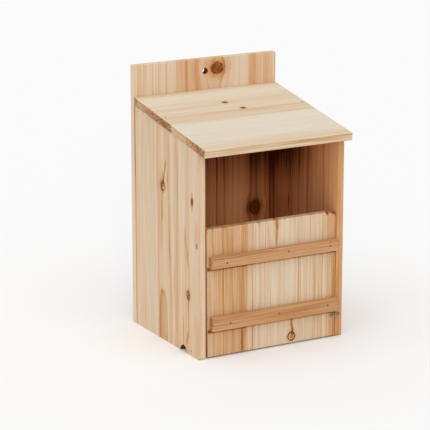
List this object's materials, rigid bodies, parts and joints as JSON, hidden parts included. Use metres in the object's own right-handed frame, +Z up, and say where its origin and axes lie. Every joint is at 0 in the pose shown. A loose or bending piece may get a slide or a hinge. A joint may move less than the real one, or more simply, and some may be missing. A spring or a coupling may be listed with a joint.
{
  "type": "birdhouse",
  "caption": "Half-open wooden birdhouse with a sloping roof, a tall back board to hang it by, and a low front door that swings up for cleaning behind a turn latch.",
  "frame": {"origin": "on the ground, under the middle of the overall width and depth", "axes": "+X to the right across the front, +Y from the front into the wall, +Z up"},
  "size_m": [0.22, 0.2099, 0.36],
  "materials": {
    "fir_back_panel": "planed, unfinished",
    "fir_left_side": "planed, unfinished",
    "fir_right_side": "planed, unfinished",
    "fir_roof": "planed, unfinished",
    "fir_floor": "planed, unfinished",
    "fir_door": "planed, unfinished",
    "fir_upper_batten": "sawn, unfinished",
    "fir_lower_batten": "sawn, unfinished",
    "zinc_pivot_screw_left": "zinc plated, dull",
    "zinc_pivot_screw_right": "zinc plated, dull",
    "zinc_latch_hook": "galvanised, semi-bright",
    "steel_upper_brad_1": "plain steel, dull",
    "steel_upper_brad_2": "plain steel, dull",
    "steel_upper_brad_3": "plain steel, dull",
    "steel_lower_brad_1": "plain steel, dull",
    "steel_lower_brad_2": "plain steel, dull",
    "steel_lower_brad_3": "plain steel, dull",
    "steel_roof_nail_left": "plain steel, dull",
    "steel_roof_nail_right": "plain steel, dull",
    "steel_floor_nail_left_front": "plain steel, dull",
    "steel_floor_nail_left_rear": "plain steel, dull",
    "steel_floor_nail_right_front": "plain steel, dull",
    "steel_floor_nail_right_rear": "plain steel, dull",
    "steel_back_nail_left_low": "plain steel, dull",
    "steel_back_nail_left_high": "plain steel, dull",
    "steel_back_nail_right_low": "plain steel, dull",
    "steel_back_nail_right_high": "plain steel, dull"
  },
  "bodies": {
    "box": {"back_panel": "fir_back_panel", "left_side": "fir_left_side", "right_side": "fir_right_side", "roof": "fir_roof", "floor": "fir_floor", "pivot_screw_left": "zinc_pivot_screw_left", "pivot_screw_right": "zinc_pivot_screw_right", "roof_nail_left": "steel_roof_nail_left", "roof_nail_right": "steel_roof_nail_right", "floor_nail_left_front": "steel_floor_nail_left_front", "floor_nail_left_rear": "steel_floor_nail_left_rear", "floor_nail_right_front": "steel_floor_nail_right_front", "floor_nail_right_rear": "steel_floor_nail_right_rear", "back_nail_left_low": "steel_back_nail_left_low", "back_nail_left_high": "steel_back_nail_left_high", "back_nail_right_low": "steel_back_nail_right_low", "back_nail_right_high": "steel_back_nail_right_high"},
    "door": {"door_panel": "fir_door", "upper_batten": "fir_upper_batten", "lower_batten": "fir_lower_batten", "upper_brad_1": "steel_upper_brad_1", "upper_brad_2": "steel_upper_brad_2", "upper_brad_3": "steel_upper_brad_3", "lower_brad_1": "steel_lower_brad_1", "lower_brad_2": "steel_lower_brad_2", "lower_brad_3": "steel_lower_brad_3"},
    "latch": {"latch_hook": "zinc_latch_hook"}
  },
  "joints": [
    {"name": "door_hinge", "type": "hinge", "parent": "box", "child": "door", "pos_m": [0, -0.0796, 0.1529], "axis": [-1, 0, 0], "range_deg": [0, 160]},
    {"name": "latch_turn", "type": "hinge", "parent": "box", "child": "latch", "pos_m": [0.1049, -0.0848, 0.0315], "axis": [0, -1, 0], "range_deg": [0, 270]}
  ]
}
